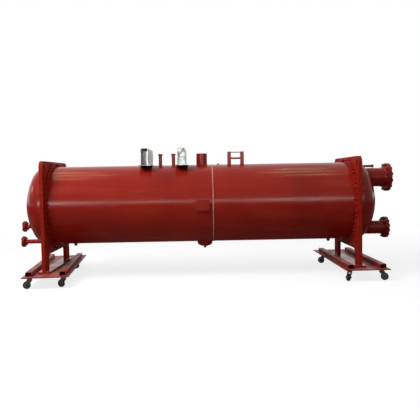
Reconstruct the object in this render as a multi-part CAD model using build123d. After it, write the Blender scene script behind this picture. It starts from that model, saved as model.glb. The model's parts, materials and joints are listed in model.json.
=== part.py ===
from build123d import *
import math
import os

# Flooded evaporator: a horizontal shell between two tube sheets, with a dished
# water box at each end, standing on two low dollies with swivel casters.
# X runs along the shell, Y away from the nameplate side, Z up from the floor.

# Shell
SHELL_OD = 1100.0
SHELL_WALL = 12.0
SHELL_LENGTH = 4180.0
GIRTH_SEAM_FROM_MIDDLE = 155.0

# Tube sheets, cut with their legs from one plate and reaching past the shell
SHEET_THICKNESS = 45.0
SHEET_BESIDE_RING = 35.0
SHEET_OVER_SHELL = 70.0
SHEET_UNDER_SHELL = 90.0
SHEET_CORNER_RADIUS = 95.0
LEG_WIDTH = 200.0
LEG_UNDER_SHELL = 300.0
LEG_FILLET = 60.0
LIFTING_HOLE_RADIUS = 40.0
FOOT_WIDTH = 155.0
FOOT_THICKNESS = 25.0

# Water boxes: a ring flange bolted to the tube sheet and a dished head
RING_WIDTH = 75.0
RING_THICKNESS = 45.0
HEAD_SKIRT = 15.0
HEAD_WALL = 12.0
# Crown and knuckle radius of a dished end, as shares of its diameter
CROWN_SHARE = 0.8
KNUCKLE_SHARE = 0.154

# Flanged nozzles: pipe, flange, bolt circle, raised face, how far they stand beyond
# the dished head, and how far their axes lie inside the shell's top or bottom line
LARGE_PIPE_OD = 267.4
LARGE_PIPE_WALL = 8.0
LARGE_FLANGE_OD = 400.0
LARGE_FLANGE_THICKNESS = 24.0
LARGE_HUB_OD = 296.0
LARGE_FACE_OD = 324.0
LARGE_BOLT_CIRCLE = 355.0
LARGE_BOLT_COUNT = 12
LARGE_BOLT_HOLE_RADIUS = 12.5
LARGE_BEYOND_HEAD = 205.0
LARGE_BELOW_TOP = 223.0

MEDIUM_PIPE_OD = 190.7
MEDIUM_PIPE_WALL = 7.0
MEDIUM_FLANGE_OD = 305.0
MEDIUM_FLANGE_THICKNESS = 22.0
MEDIUM_HUB_OD = 214.0
MEDIUM_FACE_OD = 238.0
MEDIUM_BOLT_CIRCLE = 265.0
MEDIUM_BOLT_COUNT = 12
MEDIUM_BOLT_HOLE_RADIUS = 11.5
MEDIUM_BEYOND_HEAD = 182.0
MEDIUM_OVER_BOTTOM = 152.0

SMALL_PIPE_OD = 60.5
SMALL_PIPE_WALL = 4.0
SMALL_FLANGE_OD = 155.0
SMALL_FLANGE_THICKNESS = 16.0
SMALL_HUB_OD = 72.0
SMALL_FACE_OD = 96.0
SMALL_BOLT_CIRCLE = 120.0
SMALL_BOLT_COUNT = 4
SMALL_BOLT_HOLE_RADIUS = 9.5
UPPER_SMALL_BEYOND_HEAD = 75.0
UPPER_SMALL_OVER_BOTTOM = 256.0
LOWER_SMALL_BEYOND_HEAD = 96.0
LOWER_SMALL_OVER_BOTTOM = 38.0

RAISED_FACE = 2.0
HUB_SHARE_OF_THICKNESS = 1.6

# Vent stub on the right water box
VENT_OD = 34.0
VENT_BELOW_TOP = 60.0
VENT_BEYOND_HEAD = 15.0
VENT_CAP_OD = 44.0
VENT_CAP_LENGTH = 28.0

# Fittings on top of the shell, placed from the shell's middle and its top line
SUCTION_OD = 154.0
SUCTION_WALL = 7.0
SUCTION_X = 10.0
SUCTION_HEIGHT = 159.0
STUB_OD = 48.6
STUB_WALL = 3.5
STUB_HEIGHT = 162.0
STUB_X = (-582.0, -396.0)
STUB_CAP_OD = 66.0
STUB_CAP_HEIGHT = 22.0
POST_WIDTH = 52.0
POST_WALL = 4.0
POST_HEIGHT = 181.0
POST_X = (405.0, 590.0)
CROSS_BAR_DIAMETER = 26.0
CROSS_BAR_HEIGHT = 86.0
TOP_BAR_DIAMETER = 12.0
TOP_BAR_BELOW_POST_TOP = 10.0

# Bare steel support frames that lie across the top of the shell, open at both ends
FRAME_X = (-774.0, -271.0)
FRAME_WIDTH = 106.0
FRAME_LENGTH = 750.0
FRAME_HEIGHT = 233.0
FRAME_PLATE = 8.0
FRAME_CORNER = 20.0
FRAME_SEAT = 8.0
FRAME_FOOT_WIDTH = 170.0
FRAME_FOOT_THICKNESS = 10.0
FRAME_WEB_INSET = 30.0
FRAME_WEB_HOLE = 36.0
FRAME_WEB_HOLE_HEIGHT = 126.0

# Nameplate stand-off on the near side
NAMEPLATE_X = 15.0
NAMEPLATE_WIDTH = 174.0
NAMEPLATE_HEIGHT = 142.0
NAMEPLATE_THICKNESS = 4.0
NAMEPLATE_STANDOFF = 26.0
NAMEPLATE_BELOW_AXIS = 7.0

# Oil sump and bosses under the shell
SUMP_X = 37.0
SUMP_OD = 216.0
SUMP_DEPTH = 6.0
SUMP_DRAIN_OD = 34.0
SUMP_DRAIN_LENGTH = 22.0
BOSS_OD = 60.0
BOSS_TIP_OD = 28.0
BOSS_HEIGHT = 36.0
BOSS_FROM_SHEET = 260.0
PLUG_X = 245.0
PLUG_OD = 40.0
PLUG_HEIGHT = 12.0

# Dollies
DECK_LENGTH = 2000.0
DECK_WIDTH = 590.0
DECK_THICKNESS = 12.0
RAIL_WIDTH = 80.0
RAIL_HEIGHT = 60.0
RAIL_WALL = 5.0
RAIL_CORNER = 7.5
RAIL_EDGE_INSET = 40.0
RAIL_FRONT_INSET = 65.0
RAIL_BACK_INSET = 215.0

# How each dolly was left under its foot plate: turn in degrees, and shift from it
DOLLY_YAW = {"left_dolly": 5.3, "right_dolly": 0.5}
DOLLY_SHIFT = {"left_dolly": (-12.0, 85.0), "right_dolly": (48.0, 170.0)}

# Casters
CASTER_HEIGHT = 150.0
CASTER_SIDE_INSET = 80.0
CASTER_FRONT_INSET = 130.0
CASTER_BACK_INSET = 390.0
WHEEL_DIAMETER = 100.0
WHEEL_WIDTH = 32.0
WHEEL_HUB_DIAMETER = 46.0
WHEEL_HUB_WIDTH = 38.0
WHEEL_RECESS = 4.0
WHEEL_RECESS_DIAMETER = 72.0
WHEEL_EDGE_RADIUS = 5.3
WHEEL_BORE_RADIUS = 6.05
AXLE_RADIUS = 6.0
TRAIL = 40.0
FORK_PLATE = 4.0
FORK_CHEEK_RADIUS = 12.0
FORK_GAP_SIDE = 1.0
FORK_TOP_GAP = 12.0
FORK_CROWN = 5.0
FORK_RACE_DIAMETER = 62.0
TOP_PLATE_LENGTH = 105.0
TOP_PLATE_WIDTH = 85.0
TOP_PLATE_THICKNESS = 6.0
SWIVEL_GAP = 1.0
KINGPIN_RADIUS = 8.0
KINGPIN_CLEARANCE = 0.05

# Which way each caster trails, in degrees from +X
CASTER_TRAILS = {
    "left_dolly": {"front_left": 218.0, "front_right": 150.0, "back_left": 190.0, "back_right": 165.0},
    "right_dolly": {"front_left": 232.0, "front_right": 320.0, "back_left": 178.0, "back_right": 200.0},
}

# Heights and places worked out from the sizes above
DECK_BOTTOM = CASTER_HEIGHT
DECK_TOP = DECK_BOTTOM + DECK_THICKNESS
FOOT_TOP = DECK_TOP + FOOT_THICKNESS
SHELL_R = SHELL_OD / 2
RING_OD = SHELL_OD + 2 * RING_WIDTH
SHEET_WIDTH = RING_OD + 2 * SHEET_BESIDE_RING
SHEET_TOP_OVER_AXIS = SHELL_R + SHEET_OVER_SHELL
SHEET_LOWER_EDGE = SHELL_R + SHEET_UNDER_SHELL
LEG_BOTTOM = SHELL_R + LEG_UNDER_SHELL
AXIS_Z = FOOT_TOP + LEG_BOTTOM
SHEET_INNER = SHELL_LENGTH / 2
SHEET_OUTER = SHEET_INNER + SHEET_THICKNESS
SHEET_MIDDLE = SHEET_INNER + SHEET_THICKNESS / 2
LIFTING_HOLE_Y = SHEET_WIDTH / 2 - SHEET_CORNER_RADIUS
LIFTING_HOLE_Z = SHEET_TOP_OVER_AXIS - SHEET_CORNER_RADIUS
KNUCKLE = SHELL_OD * KNUCKLE_SHARE
CROWN = SHELL_OD * CROWN_SHARE
CROWN_DROP = math.sqrt((CROWN - KNUCKLE) ** 2 - (SHELL_R - KNUCKLE) ** 2)
HEAD_START = SHEET_OUTER + RING_THICKNESS
HEAD_END = HEAD_START + HEAD_SKIRT + CROWN - CROWN_DROP
# The frame's origin is under the middle of the box round the whole part
RIGHT_EXTENT = HEAD_END + LARGE_BEYOND_HEAD + LARGE_FLANGE_THICKNESS
LEFT_EXTENT = HEAD_END + LOWER_SMALL_BEYOND_HEAD + SMALL_FLANGE_THICKNESS
MIDDLE_X = (LEFT_EXTENT - RIGHT_EXTENT) / 2


def deck_reach(side):
    """Nearest and furthest Y of one dolly's deck, measured from the shell's axis."""
    yaw = math.radians(DOLLY_YAW[side])
    half = DECK_LENGTH / 2 * math.cos(yaw) + DECK_WIDTH / 2 * math.sin(yaw)
    middle = DOLLY_SHIFT[side][1]
    return middle - half, middle + half


DECK_REACHES = [deck_reach(side) for side in DOLLY_YAW]
MIDDLE_Y = -(min(near for near, _ in DECK_REACHES) + max(far for _, far in DECK_REACHES)) / 2
VESSEL_PLACE = Location((MIDDLE_X, MIDDLE_Y, AXIS_Z))
FLOOR_PLACE = Location((MIDDLE_X, MIDDLE_Y, 0))


def along_x(radius, start, end):
    """A round bar about the X axis."""
    bar = Cylinder(radius, end - start, rotation=(0, 90, 0))
    return Location(((start + end) / 2, 0, 0)) * bar


def upright(radius, bottom, top):
    """A round bar about the Z axis."""
    return Location((0, 0, (bottom + top) / 2)) * Cylinder(radius, top - bottom)


def mirrored(part):
    """The same piece at the other end of the vessel."""
    return mirror(part, Plane.YZ)


def shell_course(start, end):
    """One rolled course of the shell, open at both ends."""
    return along_x(SHELL_R, start, end) - along_x(SHELL_R - SHELL_WALL, start, end)


def tube_sheet():
    """End plate with two legs, rounded top corners and a lifting hole in each corner."""
    half = SHEET_WIDTH / 2
    inner = half - LEG_WIDTH
    outline = Polyline(
        (-half, SHEET_TOP_OVER_AXIS), (half, SHEET_TOP_OVER_AXIS), (half, -LEG_BOTTOM), (inner, -LEG_BOTTOM),
        (inner, -SHEET_LOWER_EDGE), (-inner, -SHEET_LOWER_EDGE), (-inner, -LEG_BOTTOM), (-half, -LEG_BOTTOM),
        close=True,
    )
    face = make_face(outline)
    top_corners = face.vertices().group_by(Axis.Y)[-1]
    face = fillet(top_corners, SHEET_CORNER_RADIUS)
    inside_corners = [v for v in face.vertices() if abs(v.Y + SHEET_LOWER_EDGE) < 1]
    face = fillet(inside_corners, LEG_FILLET)
    for side in (-1, 1):
        face -= Location((side * LIFTING_HOLE_Y, LIFTING_HOLE_Z)) * Circle(LIFTING_HOLE_RADIUS)
    plate = extrude(Plane.YZ * face, SHEET_THICKNESS)
    return Location((SHEET_INNER, 0, 0)) * plate


def foot_plate():
    """Flat plate welded under the two legs of a tube sheet."""
    plate = Box(FOOT_WIDTH, SHEET_WIDTH, FOOT_THICKNESS)
    return Location((SHEET_MIDDLE, 0, -LEG_BOTTOM - FOOT_THICKNESS / 2)) * plate


def head_ring():
    """Ring flange between the tube sheet and the dished head."""
    ring = along_x(RING_OD / 2, SHEET_OUTER, HEAD_START)
    return ring - along_x(SHELL_R - HEAD_WALL, SHEET_OUTER, HEAD_START)


def dish(od, inset):
    """A solid dished end on its skirt, about the Z axis; inset draws its surface inwards."""
    radius = od / 2
    knuckle = od * KNUCKLE_SHARE
    crown = od * CROWN_SHARE
    drop = math.sqrt((crown - knuckle) ** 2 - (radius - knuckle) ** 2)
    turn = math.degrees(math.atan2(drop, radius - knuckle))
    edge = CenterArc((radius - knuckle, HEAD_SKIRT), knuckle - inset, 0, turn)
    cap = CenterArc((0, HEAD_SKIRT - drop), crown - inset, turn, 90 - turn)
    sides = Polyline(cap @ 1, (0, 0), (radius - inset, 0), edge @ 0)
    face = make_face([*sides.edges(), edge.edge(), cap.edge()])
    return revolve(Plane.XZ * face, Axis.Z)


def dish_along_x(inset):
    """The dished end of a water box, facing +X."""
    return Location((HEAD_START, 0, 0), (0, 90, 0)) * dish(SHELL_OD, inset)


HEAD_OUTSIDE = dish_along_x(0)
HEAD_INSIDE = dish_along_x(HEAD_WALL)


def dished_head(pipe_holes):
    """Dished head with a hole for each pipe that it carries."""
    head = HEAD_OUTSIDE - HEAD_INSIDE
    for radius, over_axis in pipe_holes:
        drill = along_x(radius, HEAD_START, HEAD_START + SHELL_R)
        head -= Location((0, 0, over_axis)) * drill
    return head


def bolt_holes(circle, count, radius, start, end):
    """Round holes on a circle about the X axis, with no hole on the vertical line."""
    holes = []
    for number in range(count):
        angle = math.radians((number + 0.5) * 360 / count)
        y = circle / 2 * math.cos(angle)
        z = circle / 2 * math.sin(angle)
        holes.append(Location((0, y, z)) * along_x(radius, start, end))
    return holes


def flange_disc(size, face_start, direction):
    """Flat round flange with a raised face; direction is where its back points."""
    back = face_start + direction * size["thickness"]
    step = face_start + direction * RAISED_FACE
    disc = along_x(size["flange_od"] / 2, min(step, back), max(step, back))
    disc += along_x(size["face_od"] / 2, min(face_start, step), max(face_start, step))
    ends = (face_start - size["thickness"] * 2, face_start + size["thickness"] * 2)
    for hole in bolt_holes(size["circle"], size["count"], size["hole"], *ends):
        disc -= hole
    return disc


def nozzle(size):
    """Pipe from the dished head to a welding neck flange."""
    mate = HEAD_END + size["beyond_head"]
    back = mate - size["thickness"]
    hub = size["thickness"] * HUB_SHARE_OF_THICKNESS
    bore = size["pipe_od"] / 2 - size["pipe_wall"]
    part = along_x(size["pipe_od"] / 2, HEAD_START, mate)
    part += flange_disc(size, mate, -1)
    neck = Cone(size["hub_od"] / 2, size["pipe_od"] / 2, hub, rotation=(0, -90, 0))
    part += Location((back - hub / 2, 0, 0)) * neck
    part -= along_x(bore, HEAD_START, mate)
    part = Location((0, 0, size["over_axis"])) * part
    return part - HEAD_OUTSIDE


def blind_flange(size):
    """Blank flange that closes a nozzle."""
    mate = HEAD_END + size["beyond_head"]
    return Location((0, 0, size["over_axis"])) * flange_disc(size, mate, 1)


LARGE = {
    "pipe_od": LARGE_PIPE_OD, "pipe_wall": LARGE_PIPE_WALL, "flange_od": LARGE_FLANGE_OD,
    "thickness": LARGE_FLANGE_THICKNESS, "hub_od": LARGE_HUB_OD, "face_od": LARGE_FACE_OD,
    "circle": LARGE_BOLT_CIRCLE, "count": LARGE_BOLT_COUNT, "hole": LARGE_BOLT_HOLE_RADIUS,
    "beyond_head": LARGE_BEYOND_HEAD, "over_axis": SHELL_R - LARGE_BELOW_TOP,
}
MEDIUM = {
    "pipe_od": MEDIUM_PIPE_OD, "pipe_wall": MEDIUM_PIPE_WALL, "flange_od": MEDIUM_FLANGE_OD,
    "thickness": MEDIUM_FLANGE_THICKNESS, "hub_od": MEDIUM_HUB_OD, "face_od": MEDIUM_FACE_OD,
    "circle": MEDIUM_BOLT_CIRCLE, "count": MEDIUM_BOLT_COUNT, "hole": MEDIUM_BOLT_HOLE_RADIUS,
    "beyond_head": MEDIUM_BEYOND_HEAD, "over_axis": MEDIUM_OVER_BOTTOM - SHELL_R,
}
SMALL_UPPER = {
    "pipe_od": SMALL_PIPE_OD, "pipe_wall": SMALL_PIPE_WALL, "flange_od": SMALL_FLANGE_OD,
    "thickness": SMALL_FLANGE_THICKNESS, "hub_od": SMALL_HUB_OD, "face_od": SMALL_FACE_OD,
    "circle": SMALL_BOLT_CIRCLE, "count": SMALL_BOLT_COUNT, "hole": SMALL_BOLT_HOLE_RADIUS,
    "beyond_head": UPPER_SMALL_BEYOND_HEAD, "over_axis": UPPER_SMALL_OVER_BOTTOM - SHELL_R,
}
SMALL_LOWER = dict(
    SMALL_UPPER, beyond_head=LOWER_SMALL_BEYOND_HEAD, over_axis=LOWER_SMALL_OVER_BOTTOM - SHELL_R,
)


def vent_stub():
    """Short capped pipe high on the right water box."""
    end = HEAD_END + VENT_BEYOND_HEAD
    stub = along_x(VENT_OD / 2, HEAD_START, end)
    stub += along_x(VENT_CAP_OD / 2, end - VENT_CAP_LENGTH, end)
    return Location((0, 0, SHELL_R - VENT_BELOW_TOP)) * stub - HEAD_OUTSIDE


SHELL_SOLID = along_x(SHELL_R, -SHEET_INNER, SHEET_INNER)


def standing_pipe(x, od, wall, height):
    """Upright pipe seated on the shell, closed by an end plate as thick as its wall."""
    top = SHELL_R + height
    pipe = upright(od / 2, 0, top) - upright(od / 2 - wall, 0, top - wall)
    return Location((x, 0, 0)) * pipe - SHELL_SOLID


def top_stub(x):
    """Capped connection pipe."""
    top = SHELL_R + STUB_HEIGHT
    cap = Location((x, 0, 0)) * upright(STUB_CAP_OD / 2, top - STUB_CAP_HEIGHT, top)
    return standing_pipe(x, STUB_OD, STUB_WALL, STUB_HEIGHT) + cap


def top_posts():
    """Two square posts on the shell with a thick bar between them and a thin one near the top."""
    top = SHELL_R + POST_HEIGHT
    bore = POST_WIDTH - 2 * POST_WALL
    hollow_post = Box(POST_WIDTH, POST_WIDTH, top) - Box(bore, bore, top)
    frame = Location((POST_X[0], 0, top / 2)) * hollow_post
    frame += Location((POST_X[1], 0, top / 2)) * hollow_post
    bars = (
        (CROSS_BAR_DIAMETER, SHELL_R + CROSS_BAR_HEIGHT),
        (TOP_BAR_DIAMETER, top - TOP_BAR_BELOW_POST_TOP),
    )
    for diameter, over_axis in bars:
        start = POST_X[0] + bore / 2
        end = POST_X[1] - bore / 2
        frame += Location((0, 0, over_axis)) * along_x(diameter / 2, start, end)
    return frame - SHELL_SOLID


def frame_section(inset):
    """Upright section of a support frame with rounded top corners, drawn inwards by inset."""
    low = SHELL_R - FRAME_SEAT + inset
    high = SHELL_R + FRAME_HEIGHT - inset
    section = Location((0, (low + high) / 2)) * Rectangle(FRAME_WIDTH - 2 * inset, high - low)
    return fillet(section.vertices().group_by(Axis.Y)[-1], FRAME_CORNER - inset)


def support_frame(x, has_web):
    """Box frame across the shell's top on a wide foot plate; a web with a hole may close it."""
    frame = extrude(Plane.XZ * frame_section(0), FRAME_LENGTH / 2, both=True)
    frame -= extrude(Plane.XZ * frame_section(FRAME_PLATE), FRAME_LENGTH / 2, both=True)
    foot_middle = SHELL_R - FRAME_SEAT + FRAME_FOOT_THICKNESS / 2
    frame += Location((0, 0, foot_middle)) * Box(FRAME_FOOT_WIDTH, FRAME_LENGTH, FRAME_FOOT_THICKNESS)
    if has_web:
        web = extrude(Plane.XZ * frame_section(FRAME_PLATE), FRAME_PLATE / 2, both=True)
        hole = Cylinder(FRAME_WEB_HOLE / 2, FRAME_PLATE, rotation=(90, 0, 0))
        web -= Location((0, 0, SHELL_R + FRAME_WEB_HOLE_HEIGHT)) * hole
        frame += Location((0, FRAME_WEB_INSET - FRAME_LENGTH / 2, 0)) * web
    return Location((x, 0, 0)) * frame - SHELL_SOLID


def nameplate_bracket():
    """Bare plate held off the shell by its two folded sides."""
    back = -SHELL_R - NAMEPLATE_STANDOFF
    depth = SHELL_R
    solid = Location((0, back + depth / 2, 0)) * Box(NAMEPLATE_WIDTH, depth, NAMEPLATE_HEIGHT)
    hollow = Box(NAMEPLATE_WIDTH - 2 * NAMEPLATE_THICKNESS, depth, NAMEPLATE_HEIGHT)
    solid -= Location((0, back + NAMEPLATE_THICKNESS + depth / 2, 0)) * hollow
    return Location((NAMEPLATE_X, 0, -NAMEPLATE_BELOW_AXIS)) * solid - SHELL_SOLID


def oil_sump():
    """Round pot under the shell with a dished bottom and a drain plug."""
    pot = upright(SUMP_OD / 2, -SHELL_R - SUMP_DEPTH, 0)
    bottom = Location((0, 0, -SHELL_R - SUMP_DEPTH), (180, 0, 0)) * dish(SUMP_OD, 0)
    lowest = bottom.bounding_box().min.Z
    pot += bottom
    pot += upright(SUMP_DRAIN_OD / 2, lowest - SUMP_DRAIN_LENGTH, -SHELL_R)
    return Location((SUMP_X, 0, 0)) * pot - SHELL_SOLID


def bosses():
    """Tapered drain boss near each tube sheet and a plug on top."""
    boss_x = SHEET_INNER - BOSS_FROM_SHEET
    taper = Location((0, 0, -SHELL_R - BOSS_HEIGHT / 2)) * Cone(BOSS_TIP_OD / 2, BOSS_OD / 2, BOSS_HEIGHT)
    boss = upright(BOSS_OD / 2, -SHELL_R, 0) + taper
    parts = []
    for x in (-boss_x, boss_x):
        parts.append(Location((x, 0, 0)) * boss - SHELL_SOLID)
    plug = Location((PLUG_X, 0, 0)) * upright(PLUG_OD / 2, 0, SHELL_R + PLUG_HEIGHT)
    parts.append(plug - SHELL_SOLID)
    return Compound(children=[part.solid() for part in parts])


def caster_places():
    """Swivel axes on one deck, from the deck's middle."""
    x = DECK_WIDTH / 2 - CASTER_SIDE_INSET
    front = CASTER_FRONT_INSET - DECK_LENGTH / 2
    back = DECK_LENGTH / 2 - CASTER_BACK_INSET
    return {
        "front_left": (-x, front), "front_right": (x, front),
        "back_left": (-x, back), "back_right": (x, back),
    }


SWIVEL_TOP = CASTER_HEIGHT - TOP_PLATE_THICKNESS
CROWN_BOTTOM = WHEEL_DIAMETER + FORK_TOP_GAP
CROWN_TOP = CROWN_BOTTOM + FORK_CROWN
RACE_TOP = SWIVEL_TOP - SWIVEL_GAP
FORK_INNER = WHEEL_HUB_WIDTH / 2 + FORK_GAP_SIDE
FORK_OUTER = FORK_INNER + FORK_PLATE


def deck():
    """Flat deck plate of a dolly."""
    return Location((0, 0, DECK_BOTTOM + DECK_THICKNESS / 2)) * Box(DECK_WIDTH, DECK_LENGTH, DECK_THICKNESS)


def caster_plates():
    """Four caster top plates, each with its kingpin."""
    parts = []
    for x, y in caster_places().values():
        plate = Box(TOP_PLATE_WIDTH, TOP_PLATE_LENGTH, TOP_PLATE_THICKNESS)
        top = Location((x, y, CASTER_HEIGHT - TOP_PLATE_THICKNESS / 2)) * plate
        top += Location((x, y, 0)) * upright(KINGPIN_RADIUS, CROWN_BOTTOM, SWIVEL_TOP)
        parts.append(top)
    return Compound(children=[part.solid() for part in parts])


def rails():
    """Two open-ended tubes lying on the deck, one along each side."""
    parts = []
    x = DECK_WIDTH / 2 - RAIL_EDGE_INSET - RAIL_WIDTH / 2
    length = DECK_LENGTH - RAIL_FRONT_INSET - RAIL_BACK_INSET
    middle = (RAIL_FRONT_INSET - RAIL_BACK_INSET) / 2
    section = RectangleRounded(RAIL_WIDTH, RAIL_HEIGHT, RAIL_CORNER)
    inside = (RAIL_WIDTH - 2 * RAIL_WALL, RAIL_HEIGHT - 2 * RAIL_WALL, RAIL_CORNER - RAIL_WALL)
    section -= RectangleRounded(*inside)
    tube = extrude(Plane.XZ * section, length / 2, both=True)
    for side in (-1, 1):
        parts.append(Location((side * x, middle, DECK_TOP + RAIL_HEIGHT / 2)) * tube)
    return Compound(children=[part.solid() for part in parts])


def fork_cheek():
    """One side of a fork: the hull of the crown's edge and a round end at the axle."""
    half = FORK_RACE_DIAMETER / 2
    crown = Polyline(
        (-half, CROWN_TOP), (half, CROWN_TOP), (half, CROWN_BOTTOM), (-half, CROWN_BOTTOM), close=True,
    )
    end = Circle(FORK_CHEEK_RADIUS).moved(Location((TRAIL, WHEEL_DIAMETER / 2)))
    return extrude(Plane.XZ * make_hull([*end.edges(), *crown.edges()]), FORK_PLATE / 2, both=True)


def fork():
    """Swivel fork about the Z axis, with its wheel axle trailing along +X."""
    part = upright(FORK_RACE_DIAMETER / 2, CROWN_BOTTOM, RACE_TOP)
    crown = Box(FORK_RACE_DIAMETER, 2 * FORK_OUTER, FORK_CROWN)
    part += Location((0, 0, CROWN_BOTTOM + FORK_CROWN / 2)) * crown
    cheek = fork_cheek()
    for side in (-1, 1):
        part += Location((0, side * (FORK_INNER + FORK_PLATE / 2), 0)) * cheek
    axle = Cylinder(AXLE_RADIUS, 2 * FORK_OUTER, rotation=(90, 0, 0))
    part += Location((TRAIL, 0, WHEEL_DIAMETER / 2)) * axle
    part -= upright(KINGPIN_RADIUS + KINGPIN_CLEARANCE, 0, CASTER_HEIGHT)
    return part


def wheel():
    """Solid wheel about the Y axis, with a raised hub and a bore for the axle."""
    tyre = Cylinder(WHEEL_DIAMETER / 2, WHEEL_WIDTH, rotation=(90, 0, 0))
    tyre = fillet(tyre.edges().filter_by(GeomType.CIRCLE), WHEEL_EDGE_RADIUS)
    for side in (-1, 1):
        recess = Cylinder(WHEEL_RECESS_DIAMETER / 2, WHEEL_RECESS, rotation=(90, 0, 0))
        tyre -= Location((0, side * (WHEEL_WIDTH - WHEEL_RECESS) / 2, 0)) * recess
    part = tyre + Cylinder(WHEEL_HUB_DIAMETER / 2, WHEEL_HUB_WIDTH, rotation=(90, 0, 0))
    part -= Cylinder(WHEEL_BORE_RADIUS, WHEEL_HUB_WIDTH, rotation=(90, 0, 0))
    return Location((TRAIL, 0, WHEEL_DIAMETER / 2)) * part


def pipe_bore_hole(size):
    """Radius and place of the hole that a nozzle needs in its dished head."""
    return size["pipe_od"] / 2 - size["pipe_wall"], size["over_axis"]


def vessel_nodes():
    """Every piece of the vessel, measured from the middle of its axis."""
    seam = GIRTH_SEAM_FROM_MIDDLE
    left_holes = [pipe_bore_hole(size) for size in (SMALL_UPPER, SMALL_LOWER)]
    right_holes = [pipe_bore_hole(size) for size in (LARGE, MEDIUM)]
    return {
        "shell_left": shell_course(-SHEET_INNER, seam),
        "shell_right": shell_course(seam, SHEET_INNER),
        "tube_sheet_left": mirrored(tube_sheet()),
        "tube_sheet_right": tube_sheet(),
        "foot_plate_left": mirrored(foot_plate()),
        "foot_plate_right": foot_plate(),
        "head_ring_left": mirrored(head_ring()),
        "head_ring_right": head_ring(),
        "dished_head_left": mirrored(dished_head(left_holes)),
        "dished_head_right": dished_head(right_holes),
        "water_nozzle_top": nozzle(LARGE),
        "water_nozzle_bottom": nozzle(MEDIUM),
        "blind_flange_top": blind_flange(LARGE),
        "blind_flange_bottom": blind_flange(MEDIUM),
        "small_nozzle_upper": mirrored(nozzle(SMALL_UPPER)),
        "small_nozzle_lower": mirrored(nozzle(SMALL_LOWER)),
        "small_blind_upper": mirrored(blind_flange(SMALL_UPPER)),
        "small_blind_lower": mirrored(blind_flange(SMALL_LOWER)),
        "vent_stub": vent_stub(),
        "suction_nozzle": standing_pipe(SUCTION_X, SUCTION_OD, SUCTION_WALL, SUCTION_HEIGHT),
        "top_stub_left": top_stub(STUB_X[0]),
        "top_stub_right": top_stub(STUB_X[1]),
        "top_posts": top_posts(),
        "support_frame_left": support_frame(FRAME_X[0], has_web=False),
        "support_frame_right": support_frame(FRAME_X[1], has_web=True),
        "nameplate_bracket": nameplate_bracket(),
        "oil_sump": oil_sump(),
        "bosses": bosses(),
    }


def dolly_nodes(side, sheet_x):
    """One dolly under the foot plate at sheet_x, turned and shifted as it was left."""
    yaw = DOLLY_YAW[side]
    shift_x, shift_y = DOLLY_SHIFT[side]
    place = Location((sheet_x + shift_x, shift_y, 0), (0, 0, yaw))
    pieces = {
        f"{side}_deck": place * deck(),
        f"{side}_rails": place * rails(),
        f"{side}_caster_plates": place * caster_plates(),
    }
    for corner, (x, y) in caster_places().items():
        turn = CASTER_TRAILS[side][corner] - yaw
        spot = place * Location((x, y, 0), (0, 0, turn))
        pieces[f"{side}_fork_{corner}"] = spot * fork()
        pieces[f"{side}_wheel_{corner}"] = spot * wheel()
    return pieces


nodes = {name: VESSEL_PLACE * solid for name, solid in vessel_nodes().items()}
for side, sheet_x in (("left_dolly", -SHEET_MIDDLE), ("right_dolly", SHEET_MIDDLE)):
    for name, solid in dolly_nodes(side, sheet_x).items():
        nodes[name] = FLOOR_PLACE * solid

os.makedirs("parts", exist_ok=True)
for name, solid in nodes.items():
    export_step(solid, f"parts/{name}.step")
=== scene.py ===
import json
import math

import bpy
import numpy as np
from mathutils import Euler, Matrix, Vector


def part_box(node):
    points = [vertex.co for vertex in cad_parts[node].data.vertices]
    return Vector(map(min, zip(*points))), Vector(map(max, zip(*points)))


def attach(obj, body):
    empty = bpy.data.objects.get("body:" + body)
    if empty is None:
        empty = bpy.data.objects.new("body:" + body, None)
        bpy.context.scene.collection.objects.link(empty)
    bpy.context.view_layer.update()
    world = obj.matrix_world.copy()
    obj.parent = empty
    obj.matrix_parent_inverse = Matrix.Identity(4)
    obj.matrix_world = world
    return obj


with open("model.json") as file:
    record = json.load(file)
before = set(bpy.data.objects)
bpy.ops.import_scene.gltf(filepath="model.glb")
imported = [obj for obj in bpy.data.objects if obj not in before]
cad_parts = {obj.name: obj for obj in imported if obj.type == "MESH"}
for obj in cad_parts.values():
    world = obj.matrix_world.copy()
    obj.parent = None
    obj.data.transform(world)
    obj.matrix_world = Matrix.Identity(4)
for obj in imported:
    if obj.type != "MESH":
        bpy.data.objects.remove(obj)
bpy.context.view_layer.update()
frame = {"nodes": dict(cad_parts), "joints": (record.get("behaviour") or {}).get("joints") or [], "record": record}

# Camera, placed from the shell's axis
CAMERA_FROM_AXIS = (-0.068, -7.81, 0.366)
CAMERA_PITCH = 86.55
CAMERA_YAW = -0.93
CAMERA_ROLL = -1.0
CAMERA_LENS = 46.36

# Studs round each tube sheet
STUD_COUNT = 48
STUD_CIRCLE_RADIUS = 0.595
STUD_RADIUS = 0.010

# Fastener proportions, as shares of the thread diameter
NUT_ACROSS_SHARE = 1.5
NUT_HEIGHT_SHARE = 0.85
WASHER_RADIUS_SHARE = 0.93
WASHER_THICKNESS_SHARE = 0.15
PROUD_SHARE = 0.55
HEAD_HEIGHT_SHARE = 0.5
THREAD_PITCH_SHARE = 0.125
THREAD_DEPTH_SHARE = 0.06
CHAMFER_SHARE = 0.1
HOLE_TO_THREAD_SHARE = 0.88

# Weld beads: half width, half height and the spacing of their ripples
SEAM_HALF_WIDTH = 0.009
SEAM_HALF_HEIGHT = 0.0055
FILLET_HALF_WIDTH = 0.009
FILLET_HALF_HEIGHT = 0.006
SMALL_FILLET_HALF_WIDTH = 0.006
SMALL_FILLET_HALF_HEIGHT = 0.004
RIPPLE_PITCH = 0.010
RIPPLE_SHARE = 0.22
BEAD_STEP = 0.0025
BEAD_SIDES = 10
STITCH_LENGTH = 0.07
STITCH_COUNT = 6

# Dished ends: crown and knuckle radius as shares of the diameter
CROWN_SHARE = 0.8
KNUCKLE_SHARE = 0.154

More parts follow.
